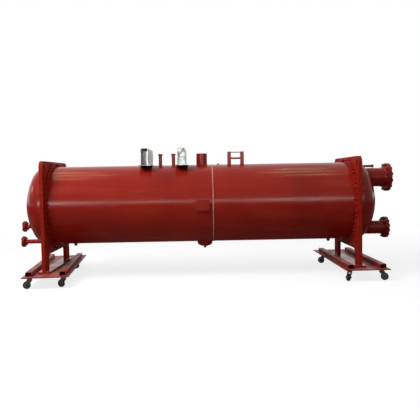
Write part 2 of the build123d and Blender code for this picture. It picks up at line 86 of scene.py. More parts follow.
# Gaskets between the flanges
GASKET_THICKNESS = 0.003
GASKET_PROUD = 0.007

# Casters
RIM_INNER = 0.0233
RIM_OUTER = 0.0352
RIM_THICKNESS = 0.0026
RIM_RIB = 0.0012
RIM_RIB_COUNT = 5
RECESS_FLOOR = 0.012
AXLE_THREAD_RADIUS = 0.005
PLATE_BOLT_RADIUS = 0.004
PLATE_BOLT_SIDE = 0.031
PLATE_BOLT_END = 0.041
DUST_RING_HEIGHT = 0.0035
DUST_RING_RADIUS = 0.034

CORNERS = ("front_left", "front_right", "back_left", "back_right")

# Rivets on the nameplate stand-off
RIVET_RADIUS = 0.004
RIVET_HEIGHT = 0.002
RIVET_INSET = 0.011

# Share of mirror reflection in the paint, where 0.5 is clear plastic
PAINT_SPECULAR = 0.14
SHEET_SPECULAR = 0.03

# Weld ripples wander by two slow waves, each as a share and as ripples per wave
SLOW_WANDER = (0.06, 5)
QUICK_WANDER = (0.04, 3)

# Lamps that light the object: place, target, width, height and level
KEY_LAMP = ((-4.2, -3.8, 4.4), (-0.4, 0, 0.2), 2.6, 2.6, 11.5)
OVERHEAD_LAMP = ((-1.5, -1.8, 5.0), (-0.5, 0, 0), 8.0, 2.0, 1.6)

# Lamps that only show as streaks in the paint: roof strips by place and length, and
# windows behind the camera by place, length and level
PALE_LIGHT = (0.92, 0.96, 1.0)
WARM_LIGHT = (1.0, 0.85, 0.42)
ROOF_HEIGHT = 5.4
ROOF_LEVEL = 20.0
ROOF_STRIP_WIDTH = 0.14
ROOF_STRIPS = (
    (2.3, 1.9, 1.5), (2.2, 0.6, 1.8), (2.5, -0.6, 1.4),
    (-3.2, 1.9, 1.5), (-3.0, 0.6, 2.0), (-3.3, -0.6, 1.5),
)
WINDOW_PLACE = (-9.0, 1.35)
WINDOW_HEIGHT = 0.9
WINDOWS = ((-0.8, 13.0, 6.0), (-4.9, 3.2, 17.0), (2.9, 3.0, 10.0))
SIDE_WINDOW = (-7.5, 0.4, 2.6)
SIDE_WINDOW_SIZE = (1.6, 1.0)
SIDE_WINDOW_LEVEL = 9.0
SIDE_WINDOW_TARGET = (-2.5, 0, 0)

# Backdrop's light on the object, and the floor's size and where it fades to white
WORLD_LEVEL = 0.22
FLOOR_RADIUS = 60.0
FLOOR_NEAR = 3.4
FLOOR_FAR = 7.5

rng = np.random.default_rng(7)


def box(name):
    """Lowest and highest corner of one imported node, as arrays."""
    low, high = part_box(name)
    return np.array(low), np.array(high)


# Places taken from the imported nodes
SHELL_LOW, SHELL_HIGH = box("shell_left")
SHELL_RADIUS = (SHELL_HIGH[1] - SHELL_LOW[1]) / 2
AXIS_Y = (SHELL_HIGH[1] + SHELL_LOW[1]) / 2
AXIS_Z = (SHELL_HIGH[2] + SHELL_LOW[2]) / 2
AXIS = np.array([0, AXIS_Y, AXIS_Z])
LEFT_SHEET_LOW, LEFT_SHEET_HIGH = box("tube_sheet_left")
RIGHT_SHEET_LOW, RIGHT_SHEET_HIGH = box("tube_sheet_right")
LEFT_RING_LOW, LEFT_RING_HIGH = box("head_ring_left")
RIGHT_RING_LOW, RIGHT_RING_HIGH = box("head_ring_right")
RIGHT_HEAD_LOW, RIGHT_HEAD_HIGH = box("dished_head_right")


# Shapes: each is (points, four-cornered faces, flat end faces)

def skin(rings, closed=False):
    """Skin over a row of rings: point (i, j) joins (i, j + 1) and (i + 1, j).

    Rings turn anticlockwise about the way they advance. Closed joins the last
    ring to the first one, and otherwise a flat face shuts each end.
    """
    count, around = rings.shape[:2]
    number = np.arange(count * around).reshape(count, around)
    beside = np.roll(number, -1, axis=1)
    if closed:
        corners = (number, beside, np.roll(beside, -1, axis=0), np.roll(number, -1, axis=0))
        ends = np.empty((0, around), int)
    else:
        corners = (number[:-1], beside[:-1], beside[1:], number[1:])
        ends = np.stack([number[0, ::-1], number[-1]])
    quads = np.stack(corners, axis=-1).reshape(-1, 4)
    return rings.reshape(-1, 3), quads, ends


def turned(radii, heights, angles):
    """Rings about Z: (r cos a, r sin a, h), with r and h given for each ring and angle."""
    radii, heights, angles = np.broadcast_arrays(radii, heights, angles)
    return np.stack([radii * np.cos(angles), radii * np.sin(angles), heights], axis=-1)


def angles_round(count):
    """Angles that share a full turn evenly."""
    return np.arange(count) * 2 * np.pi / count


def hexagon(across, height):
    """Six-sided nut about Z with its corners chamfered at both faces.

    Corner points lie at across / sqrt(3) and middle points at across / 2.
    """
    angles = angles_round(12)
    corner = np.arange(12) % 2 == 0
    side = np.where(corner, across / math.sqrt(3), across / 2)
    face = np.full(12, across / 2 * (1 - CHAMFER_SHARE / 2))
    drop = np.where(corner, CHAMFER_SHARE, CHAMFER_SHARE / 4) * height
    radii = np.stack([face, side, side, face])
    heights = np.stack([np.zeros(12), drop, height - drop, np.full(12, height)])
    return skin(turned(radii, heights, angles))


def round_bar(radii, heights, sides):
    """Round bar about Z through a row of radii and heights."""
    radii = np.asarray(radii, float)[:, None]
    heights = np.asarray(heights, float)[:, None]
    return skin(turned(radii, heights, angles_round(sides)))


def washer(radius, thickness):
    """Flat washer about Z with a small chamfer."""
    chamfer = thickness / 4
    radii = (radius - chamfer, radius, radius, radius - chamfer)
    return round_bar(radii, (0, chamfer, thickness - chamfer, thickness), 20)


def thread_end(radius, length):
    """End of a thread: the radius falls by a ridge depth on every other half pitch."""
    pitch = 2 * radius * THREAD_PITCH_SHARE
    rows = max(2, int(length / pitch) * 2)
    heights = np.linspace(0, length - pitch / 2, rows)
    radii = radius - radius * THREAD_DEPTH_SHARE * (np.arange(rows) % 2)
    return round_bar(np.append(radii, radius * 0.8), np.append(heights, length), 12)


def joined(*shapes):
    """Several shapes as one list of parts, each with its lift along Z."""
    return [(points + [0, 0, lift], quads, ends) for (points, quads, ends), lift in shapes]


def nut(radius):
    """Washer, nut and thread end standing on z = 0."""
    size = 2 * radius
    plate = size * WASHER_THICKNESS_SHARE
    height = size * NUT_HEIGHT_SHARE
    return joined(
        (washer(size * WASHER_RADIUS_SHARE, plate), 0.0),
        (hexagon(size * NUT_ACROSS_SHARE, height), plate),
        (thread_end(radius, size * PROUD_SHARE), plate + height),
    )


def bolt_head(radius):
    """Low bolt head on a washer, standing on z = 0."""
    size = 2 * radius
    plate = size * WASHER_THICKNESS_SHARE
    return joined(
        (washer(size * WASHER_RADIUS_SHARE, plate), 0.0),
        (hexagon(size * NUT_ACROSS_SHARE, size * HEAD_HEIGHT_SHARE), plate),
    )


def copies(shape, places, directions, spins):
    """Copies of a shape about Z, each spun about its axis and turned to a direction.

    With d the direction, a = cos s u + sin s v and b = -sin s u + cos s v, where
    u and v are square to d, a point (x, y, z) goes to x a + y b + z d + place.
    """
    points, quads, ends = shape
    d = directions / np.linalg.norm(directions, axis=1, keepdims=True)
    helper = np.where(np.abs(d[:, :1]) > 0.9, [[0.0, 0.0, 1.0]], [[1.0, 0.0, 0.0]])
    u = np.cross(helper, d)
    u /= np.linalg.norm(u, axis=1, keepdims=True)
    v = np.cross(d, u)
    cos, sin = np.cos(spins)[:, None], np.sin(spins)[:, None]
    basis = np.stack([cos * u + sin * v, cos * v - sin * u, d], axis=1)
    moved = np.einsum("pi,mij->mpj", points, basis) + places[:, None, :]
    step = np.arange(len(places))[:, None, None] * len(points)
    return moved.reshape(-1, 3), (quads + step).reshape(-1, 4), (ends + step).reshape(-1, ends.shape[1])


def build(name, shapes, material, body, sharp=40):
    """One mesh object out of several shapes, riding on a body."""
    corners, starts, points = [], [], []
    first_point = 0
    first_corner = 0
    for shape_points, quads, ends in shapes:
        for faces in (quads, ends):
            if len(faces):
                corners.append((faces + first_point).ravel())
                starts.append(first_corner + np.arange(len(faces)) * faces.shape[1])
                first_corner += faces.size
        points.append(shape_points)
        first_point += len(shape_points)
    points = np.concatenate(points)
    corners = np.concatenate(corners)
    starts = np.concatenate(starts)
    mesh = bpy.data.meshes.new(name)
    mesh.vertices.add(len(points))
    mesh.vertices.foreach_set("co", points.ravel())
    mesh.loops.add(len(corners))
    mesh.loops.foreach_set("vertex_index", corners)
    mesh.polygons.add(len(starts))
    mesh.polygons.foreach_set("loop_start", starts)
    mesh.update(calc_edges=True)
    mesh.validate()
    mesh.shade_smooth()
    mesh.set_sharp_from_angle(angle=math.radians(sharp))
    mesh.materials.append(material)
    piece = bpy.data.objects.new(name, mesh)
    bpy.context.scene.collection.objects.link(piece)
    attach(piece, body)
    return piece


def unit(vectors):
    """Vectors scaled to length one."""
    return vectors / np.linalg.norm(vectors, axis=-1, keepdims=True)


def evenly(path, outward, closed):
    """Path and outward directions resampled at even steps along its length."""
    if closed:
        path = np.vstack([path, path[:1]])
        outward = np.vstack([outward, outward[:1]])
    length = np.concatenate([[0], np.cumsum(np.linalg.norm(np.diff(path, axis=0), axis=1))])
    count = max(6, int(length[-1] / BEAD_STEP))
    s = np.linspace(0, length[-1], count, endpoint=not closed)
    path = np.stack([np.interp(s, length, path[:, k]) for k in range(3)], axis=1)
    outward = np.stack([np.interp(s, length, outward[:, k]) for k in range(3)], axis=1)
    return path, unit(outward), s, length[-1]


def bead(path, outward, half_width, half_height, closed=True):
    """Weld metal along a path: an oval section whose size ripples with the distance s.

    Section point = path + k (h cos v outward + w sin v sideways), where
    k = 1 - ripple |sin(pi s / pitch)| + wander, and sideways = tangent x outward.
    """
    path, outward, s, length = evenly(path, outward, closed)
    if closed:
        tangent = unit(np.roll(path, -1, axis=0) - np.roll(path, 1, axis=0))
    else:
        tangent = unit(np.gradient(path, axis=0))
    outward = unit(outward - np.sum(outward * tangent, axis=1, keepdims=True) * tangent)
    sideways = np.cross(tangent, outward)
    turns = max(1, round(length / RIPPLE_PITCH))
    phase = np.pi * s / length * turns
    slow, slow_ripples = SLOW_WANDER
    quick, quick_ripples = QUICK_WANDER
    wander = slow * np.sin(2 * np.pi * s / length * max(1, turns // slow_ripples)) + quick * np.sin(
        2 * np.pi * s / length * max(1, turns // quick_ripples) + 1.3)
    swell = 1 - RIPPLE_SHARE * np.abs(np.sin(phase)) + wander
    if not closed:
        swell = swell * np.sqrt(np.clip(1 - np.abs(2 * s / length - 1) ** 6, 0.08, 1))
    v = angles_round(BEAD_SIDES)[None, :, None]
    section = half_height * np.cos(v) * outward[:, None] + half_width * np.sin(v) * sideways[:, None]
    return skin(path[:, None] + swell[:, None, None] * section, closed=closed)


# Paths that beads follow

def circle_about_axis(x, radius, lean):
    """Circle about the shell's axis; lean tips its outward direction along X."""
    t = angles_round(720)
    ring = np.stack([np.zeros_like(t), np.cos(t), np.sin(t)], axis=1)
    path = ring * radius + AXIS + [x, 0, 0]
    return path, unit(ring + [lean, 0, 0])


def head_surface(rho):
    """Distance of the dished end's outside from its ring face, and its slope, at a radius.

    Crown: x = c + sqrt(C^2 - rho^2). Knuckle: x = s + sqrt(K^2 - (rho - (R - K))^2).
    """
    crown = 2 * SHELL_RADIUS * CROWN_SHARE
    knuckle = 2 * SHELL_RADIUS * KNUCKLE_SHARE
    reach = SHELL_RADIUS - knuckle
    drop = math.sqrt((crown - knuckle) ** 2 - reach ** 2)
    skirt = RIGHT_HEAD_HIGH[0] - RIGHT_RING_HIGH[0] - crown + drop
    on_crown = rho < crown * reach / (crown - knuckle)
    in_crown = np.sqrt(np.maximum(crown ** 2 - rho ** 2, 0))
    beyond = np.clip(rho - reach, 0, knuckle)
    in_knuckle = np.sqrt(knuckle ** 2 - beyond ** 2)
    x = np.where(on_crown, skirt - drop + in_crown, skirt + in_knuckle)
    normal_x = np.where(on_crown, in_crown / crown, in_knuckle / knuckle)
    normal_rho = np.where(on_crown, rho / crown, beyond / knuckle)
    return x, normal_x, normal_rho


def saddle_on_head(side, radius, over_axis):
    """Curve where a pipe along X meets a dished end: (side x(rho), r cos t, h + r sin t)."""
    t = angles_round(360)
    y = radius * np.cos(t)
    z = over_axis + radius * np.sin(t)
    rho = np.hypot(y, z)
    x, normal_x, normal_rho = head_surface(rho)
    face = RIGHT_RING_HIGH[0] if side > 0 else LEFT_RING_LOW[0]
    path = np.stack([face + side * x, AXIS_Y + y, AXIS_Z + z], axis=1)
    head_normal = np.stack([side * normal_x, normal_rho * y / rho, normal_rho * z / rho], axis=1)
    pipe_normal = np.stack([np.zeros_like(t), np.cos(t), np.sin(t)], axis=1)
    return path, unit(head_normal + pipe_normal)


def on_shell(x, y, upper, flat_normal):
    """Points on the shell above or below its axis, with the bead's outward direction."""
    z = np.sqrt(SHELL_RADIUS ** 2 - y ** 2) * upper
    path = np.stack([x, AXIS_Y + y, AXIS_Z + z], axis=1)
    shell_normal = np.stack([np.zeros_like(x), y, z], axis=1) / SHELL_RADIUS
    return path, unit(shell_normal + flat_normal)


def saddle_on_shell(place_x, radius, upper=1):
    """Curve where an upright pipe meets the shell: (x + r cos t, r sin t, sqrt(R^2 - y^2))."""
    t = angles_round(240)
    normal = np.stack([np.cos(t), np.sin(t), np.zeros_like(t)], axis=1)
    return on_shell(place_x + radius * np.cos(t), radius * np.sin(t), upper, normal)


def rectangle(half_x, half_y, corner_power=14):
    """Rectangle with eased corners: x = a sign(cos t) |cos t|^(2 / n), and y likewise."""
    t = angles_round(720)
    cos, sin = np.cos(t), np.sin(t)
    x = half_x * np.sign(cos) * np.abs(cos) ** (2 / corner_power)
    y = half_y * np.sign(sin) * np.abs(sin) ** (2 / corner_power)
    normal = unit(np.stack([np.abs(cos) ** corner_power * np.sign(cos) + cos * 0.01,
                            np.abs(sin) ** corner_power * np.sign(sin) + sin * 0.01,
                            np.zeros_like(t)], axis=1))
    return x, y, normal


def foot_on_shell(low, high):
    """Line where an upright rectangular piece meets the shell."""
    x, y, normal = rectangle((high[0] - low[0]) / 2, (high[1] - low[1]) / 2)
    return on_shell((low[0] + high[0]) / 2 + x, y, 1, normal)


def foot_on_plate(low_x, high_x, low_y, high_y, z):
    """Line where a leg meets its foot plate."""
    x, y, normal = rectangle((high_x - low_x) / 2, (high_y - low_y) / 2)
    middle = np.array([(low_x + high_x) / 2, (low_y + high_y) / 2, z])
    return np.stack([x, y, np.zeros_like(x)], axis=1) + middle, unit(normal + [0, 0, 1])


# Finishes

class Finish:
    """A material put together node by node."""

    def __init__(self, name):
        self.material = bpy.data.materials.new(name)
        self.material.use_nodes = True
        self.tree = self.material.node_tree
        self.surface = self.tree.nodes["Principled BSDF"]
        self.place = self.tree.nodes.new("ShaderNodeTexCoord").outputs["Object"]

    def node(self, kind, settings=None, inputs=None):
        """Adds a node, sets its options and fills or links its sockets."""
        node = self.tree.nodes.new(kind)
        for key, value in (settings or {}).items():
            setattr(node, key, value)
        for key, value in (inputs or {}).items():
            self.put(node.inputs[key], value)
        return node

    def put(self, socket, value):
        """Links a socket to another one, or gives it a constant."""
        if isinstance(value, bpy.types.NodeSocket):
            self.tree.links.new(value, socket)
        else:
            socket.default_value = value

    def stretched(self, scale):
        """Object coordinates scaled along each axis."""
        node = self.node("ShaderNodeMapping", {}, {"Vector": self.place})
        node.inputs["Scale"].default_value = scale
        return node.outputs["Vector"]

    def noise(self, scale, detail=4.0, roughness=0.55, vector=None):
        """Cloudy noise between 0 and 1."""
        node = self.node("ShaderNodeTexNoise", {}, {
            "Vector": vector or self.place, "Scale": scale, "Detail": detail, "Roughness": roughness})
        return node.outputs["Fac"]

    def spots(self, scale, vector=None):
        """Distance from the nearest of many scattered points."""
        node = self.node("ShaderNodeTexVoronoi", {}, {"Vector": vector or self.place, "Scale": scale})
        return node.outputs["Distance"]

    def between(self, value, low, high, out_low=0.0, out_high=1.0):
        """Value moved smoothly from low..high to out_low..out_high."""
        node = self.node("ShaderNodeMapRange", {"interpolation_type": "SMOOTHSTEP"}, {
            "Value": value, "From Min": low, "From Max": high, "To Min": out_low, "To Max": out_high})
        return node.outputs["Result"]

    def math(self, operation, first, second=0.0):
        """One sum or product."""
        node = self.node("ShaderNodeMath", {"operation": operation}, {0: first, 1: second})
        return node.outputs["Value"]

    def blend(self, share, first, second):
        """Colour between two colours."""
        node = self.node("ShaderNodeMix", {"data_type": "RGBA"})
        colour_sockets = [s for s in node.inputs if s.type == "RGBA"]
        self.put(node.inputs["Factor"], share)
        self.put(colour_sockets[0], first)
        self.put(colour_sockets[1], second)
        return [s for s in node.outputs if s.type == "RGBA"][0]

    def facing_up(self):
        """How far the surface faces upwards, from -1 to 1."""
        normal = self.node("ShaderNodeNewGeometry").outputs["Normal"]
        return self.node("ShaderNodeSeparateXYZ", {}, {"Vector": normal}).outputs["Z"]

    def bumps(self, *layers):
        """Height layers one on another, each as (height, distance in metres, strength)."""
        normal = None
        for height, distance, strength in layers:
            node = self.node("ShaderNodeBump", {}, {
                "Height": height, "Distance": distance, "Strength": strength})
            if normal:
                self.put(node.inputs["Normal"], normal)
            normal = node.outputs["Normal"]
        self.put(self.surface.inputs["Normal"], normal)

    def finish(self, colour, roughness, metallic=0.0, specular=0.5):
        """Sets the surface's main values and gives the material."""
        self.put(self.surface.inputs["Base Color"], colour)
        self.put(self.surface.inputs["Roughness"], roughness)
        self.put(self.surface.inputs["Metallic"], metallic)
        self.put(self.surface.inputs["Specular IOR Level"], specular)
        return self.material


def red_paint(name, dust, wear, roughness, specular=PAINT_SPECULAR):
    """Semi-gloss oxide red paint, sprayed in passes along the shell, with scuffs, and pale colour on upward faces
    that is dust and, on the dollies, also a painted sheen.
    """
    look = Finish(name)
    deep = (0.300, 0.013, 0.006, 1)
    plain = (0.390, 0.019, 0.008, 1)
    warm = (0.440, 0.034, 0.013, 1)
    clouds = look.noise(1.3, 5.0)
    passes = look.noise(7.0, 3.0, 0.5, look.stretched((0.12, 1.0, 1.0)))
    colour = look.blend(look.between(clouds, 0.35, 0.68), plain, deep)
    colour = look.blend(look.between(passes, 0.50, 0.74, 0.0, 0.55), colour, warm)
    speckle = look.noise(160.0, 2.0, 0.7)
    colour = look.blend(look.between(speckle, 0.62, 0.80, 0.0, 0.35), colour, deep)
    scuff_grain = look.noise(55.0, 6.0, 0.75, look.stretched((0.35, 1.0, 1.0)))
    scuff_area = look.between(look.noise(2.1, 4.0), 0.55, 0.72)
    scuffs = look.math("MULTIPLY", scuff_area, look.between(scuff_grain, 0.54, 0.70))
    scuffs = look.math("MULTIPLY", scuffs, wear)
    colour = look.blend(scuffs, colour, (0.42, 0.20, 0.17, 1))
    # Pale colour on upward faces: dust, and at the dollies' high share also a painted sheen.
    dust_and_sheen = look.between(look.facing_up(), 0.55, 1.0)
    dust_and_sheen = look.math("MULTIPLY", dust_and_sheen, look.between(look.noise(9.0, 6.0, 0.7), 0.35, 0.75))
    dust_and_sheen = look.math("MULTIPLY", dust_and_sheen, dust)
    colour = look.blend(dust_and_sheen, colour, (0.34, 0.22, 0.18, 1))
    shine = look.between(look.noise(4.0, 5.0), 0.3, 0.7, roughness - 0.05, roughness + 0.07)
    dulled = look.math("ADD", shine, look.math("MULTIPLY", look.math("ADD", dust_and_sheen, scuffs), 0.3))
    look.bumps(
        (look.noise(1.2, 1.0, 0.3, look.stretched((0.5, 1.0, 1.0))), 0.0012, 0.2),
        (look.noise(220.0, 2.0), 0.0002, 0.45),
        (look.spots(420.0), 0.0001, 0.2),
    )
    return look.finish(colour, dulled, 0.0, specular)


def seam_highlight_paint():
    """Shiny paint over a proud weld bead, with pale patches by noise that are a painted highlight along the seam.
    """
    look = Finish("seam_painted_highlight_paint")
    # Pale patches: a painted highlight along the seam bead.
    rubbed = look.between(look.noise(30.0, 4.0, 0.6), 0.30, 0.60)
    colour = look.blend(rubbed, (0.44, 0.06, 0.035, 1), (0.66, 0.32, 0.27, 1))
    look.bumps((look.noise(260.0, 3.0), 0.0002, 0.4))
    return look.finish(colour, 0.3, 0.0, 0.5)


def bare_steel():
    """Bare rolled steel: grey with dark mill scale, faint vertical brushing and rust specks."""
    look = Finish("bare_bracket_steel")
    clouds = look.noise(14.0, 5.0)
    grain = look.noise(40.0, 3.0, 0.6, look.stretched((6.0, 6.0, 0.5)))
    colour = look.blend(look.between(clouds, 0.35, 0.65), (0.42, 0.44, 0.39, 1), (0.20, 0.22, 0.19, 1))
    colour = look.blend(look.between(grain, 0.55, 0.75, 0.0, 0.5), colour, (0.55, 0.57, 0.52, 1))
    rust = look.between(look.noise(60.0, 6.0, 0.75), 0.64, 0.74, 0.0, 0.6)
    colour = look.blend(rust, colour, (0.16, 0.06, 0.03, 1))
    rough = look.between(clouds, 0.3, 0.7, 0.32, 0.5)
    look.bumps((grain, 0.0003, 0.3), (look.noise(300.0), 0.0001, 0.3))
    return look.finish(colour, rough, 0.85, 0.5)


def caster_steel():
    """Soiled zinc-plated steel, dark with grease in patches."""
    look = Finish("soiled_zinc")
    clouds = look.noise(45.0, 5.0)
    colour = look.blend(look.between(clouds, 0.35, 0.65), (0.14, 0.14, 0.14, 1), (0.045, 0.043, 0.042, 1))
    specks = look.between(look.noise(260.0, 4.0, 0.7), 0.60, 0.72, 0.0, 0.7)
    colour = look.blend(specks, colour, (0.32, 0.31, 0.29, 1))
    rough = look.between(look.noise(70.0, 4.0), 0.3, 0.7, 0.35, 0.6)
    look.bumps((look.noise(320.0, 3.0), 0.0002, 0.4))
    return look.finish(colour, rough, 0.7, 0.5)


def wheel_rubber():
    """Worn black rubber with grey floor dust rubbed in."""
    look = Finish("worn_rubber")
    dust = look.between(look.noise(80.0, 6.0, 0.7), 0.45, 0.70, 0.0, 0.65)
    colour = look.blend(dust, (0.018, 0.018, 0.018, 1), (0.085, 0.080, 0.075, 1))
    rough = look.between(dust, 0.0, 0.6, 0.55, 0.85)
    look.bumps((look.noise(500.0, 4.0), 0.0002, 0.5), (look.spots(240.0), 0.0002, 0.3))
    return look.finish(colour, rough, 0.0, 0.4)


def wheel_rim():
    """Grey cast rim, darker and duller in random patches."""
    look = Finish("cast_rim")
    clouds = look.noise(90.0, 5.0)
    colour = look.blend(look.between(clouds, 0.35, 0.65), (0.30, 0.29, 0.27, 1), (0.12, 0.115, 0.11, 1))
    look.bumps((look.noise(400.0, 3.0), 0.0002, 0.4))
    return look.finish(colour, look.between(clouds, 0.3, 0.7, 0.4, 0.6), 0.4, 0.5)


def gasket_sheet():
    """Dark fibre gasket, mottled and bumped by fine fibre noise."""
    look = Finish("gasket_fibre")
    fibre = look.noise(300.0, 5.0, 0.8)
    colour = look.blend(look.between(fibre, 0.4, 0.65), (0.020, 0.020, 0.022, 1), (0.070, 0.065, 0.060, 1))
    look.bumps((fibre, 0.0003, 0.5))
    return look.finish(colour, 0.8, 0.0, 0.3)


PAINT = red_paint("oxide_red_shell_paint", 0.06, 0.30, 0.17)
THICK_PAINT = red_paint("oxide_red_thick_paint", 0.15, 0.4, 0.20)
SHEET_PAINT = red_paint("oxide_red_sheet_paint", 0.15, 0.4, 0.5, SHEET_SPECULAR)
# Seam bead paint whose pale patches are a painted highlight.
SEAM_PAINT = seam_highlight_paint()
# Strong pale colour on upward faces: dust and a painted sheen on the deck and rail tops.
DOLLY_PAINT = red_paint("dusty_sheen_dolly_paint", 0.95, 0.8, 0.34)
STEEL = bare_steel()
ZINC = caster_steel()
RUBBER = wheel_rubber()
RIM = wheel_rim()
GASKET = gasket_sheet()

NODE_FINISHES = (
    ("deck", DOLLY_PAINT),
    ("rails", DOLLY_PAINT),
    ("caster_plates", ZINC),
    ("fork", ZINC),
    ("wheel", RUBBER),
    ("support_frame", STEEL),
    ("shell", PAINT),
    ("dished_head", PAINT),
    ("tube_sheet", SHEET_PAINT),
)


def paint_nodes():
    """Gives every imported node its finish; what no word names is thickly painted."""
    for name, node in frame["nodes"].items():
        finish = THICK_PAINT
        for word, material in NODE_FINISHES:
            if word in name:
                finish = material
        node.data.materials.clear()
        node.data.materials.append(finish)


def sheet_studs():
    """Studs with a nut and washer on both sides of each tube sheet and its ring."""
    angles = (np.arange(STUD_COUNT) + 0.5) * 2 * np.pi / STUD_COUNT
    ring = np.stack([np.zeros(STUD_COUNT), np.cos(angles), np.sin(angles)], axis=1)
    sides = {
        "left": (LEFT_SHEET_HIGH[0], LEFT_RING_LOW[0], 1.0),
        "right": (RIGHT_SHEET_LOW[0], RIGHT_RING_HIGH[0], -1.0),
    }
    for side, (inner_x, outer_x, inward) in sides.items():
        shapes = []
        for x, way, kind in ((inner_x, inward, nut), (outer_x, -inward, bolt_head)):
            places = ring * STUD_CIRCLE_RADIUS + AXIS + [x, 0, 0]
            directions = np.tile([way, 0, 0], (STUD_COUNT, 1))
            spins = rng.uniform(0, np.pi, STUD_COUNT)
            shapes += [copies(part, places, directions, spins) for part in kind(STUD_RADIUS)]
        build(f"sheet_studs_{side}", shapes, THICK_PAINT, "vessel")


def flange_bolts():
    """Studs, nuts and a gasket in each flanged joint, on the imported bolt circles."""
    blanks = {
        "water_nozzle_top_bolts": "blind_flange_top",
        "water_nozzle_bottom_bolts": "blind_flange_bottom",
        "small_nozzle_upper_bolts": "small_blind_upper",
        "small_nozzle_lower_bolts": "small_blind_lower",
    }
    for mount in frame["record"]["mounts"]:
        if mount["name"] not in blanks:
            continue
        low, high = box(blanks[mount["name"]])
        way = mount["axis"][0]
        outer_x, mate_x = (high[0], low[0]) if way > 0 else (low[0], high[0])
        thickness = abs(outer_x - mate_x)
        count = mount["dims"]["count"]
        radius = mount["dims"]["pcd_mm"] / 2000
        thread = mount["dims"]["hole_r_mm"] / 1000 * HOLE_TO_THREAD_SHARE
        angles = (np.arange(count) + 0.5) * 2 * np.pi / count
        ring = np.stack([np.zeros(count), np.cos(angles), np.sin(angles)], axis=1)
        middle = np.array([0, mount["pos_m"][1], mount["pos_m"][2]])
        shapes = []
        for x, direction, kind in ((outer_x, way, bolt_head), (mate_x - way * thickness, -way, nut)):
            places = ring * radius + middle + [x, 0, 0]
            directions = np.tile([direction, 0, 0], (count, 1))
            spins = rng.uniform(0, np.pi, count)
            shapes += [copies(part, places, directions, spins) for part in kind(thread)]
        build(mount["name"].replace("bolts", "studs"), shapes, THICK_PAINT, "vessel")
        gasket = washer((high[1] - low[1]) / 2 - GASKET_PROUD, GASKET_THICKNESS)
        start = np.array([[mate_x - way * GASKET_THICKNESS / 2, 0, 0]]) + middle
        ring_shape = copies(gasket, start, np.array([[way, 0.0, 0.0]]), np.zeros(1))
        build(mount["name"].replace("bolts", "gasket"), [ring_shape], GASKET, "vessel")


def shell_welds():
    """Girth seam, fillets at both tube sheets and at both head rings."""
    seam = [bead(*circle_about_axis(SHELL_HIGH[0], SHELL_RADIUS, 0), SEAM_HALF_WIDTH, SEAM_HALF_HEIGHT)]
    build("girth_seam_bead", seam, SEAM_PAINT, "vessel", 60)
    joints = {
        "sheet_bead_left": (LEFT_SHEET_HIGH[0], 1.0),
        "sheet_bead_right": (RIGHT_SHEET_LOW[0], -1.0),
        "head_bead_left": (LEFT_RING_LOW[0], -1.0),
        "head_bead_right": (RIGHT_RING_HIGH[0], 1.0),
    }
    for name, (x, lean) in joints.items():
        shape = bead(*circle_about_axis(x, SHELL_RADIUS, lean), FILLET_HALF_WIDTH, FILLET_HALF_HEIGHT)
        build(name, [shape], THICK_PAINT, "vessel", 60)


def pipe_radius(node, inner_x):
    """Outer radius of a pipe that runs along X, read near the end at the head."""
    points = np.array([v.co for v in frame["nodes"][node].data.vertices])
    middle = (points[:, 2].max() + points[:, 2].min()) / 2
    near = points[np.abs(points[:, 0] - inner_x) < 0.12]
    return np.hypot(near[:, 1] - AXIS_Y, near[:, 2] - middle).max(), middle - AXIS_Z


def head_welds():
    """Beads where the pipes meet the dished heads."""
    joints = {"water_nozzle_top": 1, "water_nozzle_bottom": 1, "vent_stub": 1,
              "small_nozzle_upper": -1, "small_nozzle_lower": -1}
    for node, side in joints.items():
        low, high = box(node)
        radius, over_axis = pipe_radius(node, low[0] if side > 0 else high[0])
        path, outward = saddle_on_head(side, radius, over_axis)
        shape = bead(path, outward, SMALL_FILLET_HALF_WIDTH, SMALL_FILLET_HALF_HEIGHT)
        build(f"{node}_bead", [shape], THICK_PAINT, "vessel", 60)


def top_welds():
    """Beads at the feet of everything that stands on the shell, and round the sump."""
    for node in ("suction_nozzle", "top_stub_left", "top_stub_right"):
        low, high = box(node)
        points = np.array([v.co for v in frame["nodes"][node].data.vertices])
        foot = points[points[:, 2] < AXIS_Z + SHELL_RADIUS + 0.01]
        middle = (low[0] + high[0]) / 2
        radius = np.hypot(foot[:, 0] - middle, foot[:, 1] - AXIS_Y).max()
        shape = bead(*saddle_on_shell(middle, radius), SMALL_FILLET_HALF_WIDTH, SMALL_FILLET_HALF_HEIGHT)
        build(f"{node}_bead", [shape], THICK_PAINT, "vessel", 60)
    for node in ("support_frame_left", "support_frame_right"):
        low, high = box(node)
        seat_reach = math.sqrt(SHELL_RADIUS ** 2 - (low[2] - AXIS_Z) ** 2)
        low[1], high[1] = AXIS_Y - seat_reach, AXIS_Y + seat_reach
        shape = bead(*foot_on_shell(low, high), SMALL_FILLET_HALF_WIDTH, SMALL_FILLET_HALF_HEIGHT)
        build(f"{node}_bead", [shape], THICK_PAINT, "vessel", 60)
    low, high = box("top_posts")
    width = high[1] - low[1]
    shapes = []
    for start in (low[0], high[0] - width):
        path = foot_on_shell(np.array([start, low[1]]), np.array([start + width, high[1]]))
        shapes.append(bead(*path, SMALL_FILLET_HALF_WIDTH, SMALL_FILLET_HALF_HEIGHT))
    build("top_posts_bead", shapes, THICK_PAINT, "vessel", 60)
    low, high = box("oil_sump")
    path = saddle_on_shell((low[0] + high[0]) / 2, (high[0] - low[0]) / 2, -1)
    shape = bead(*path, SMALL_FILLET_HALF_WIDTH, SMALL_FILLET_HALF_HEIGHT)
    build("oil_sump_bead", [shape], THICK_PAINT, "vessel", 60)


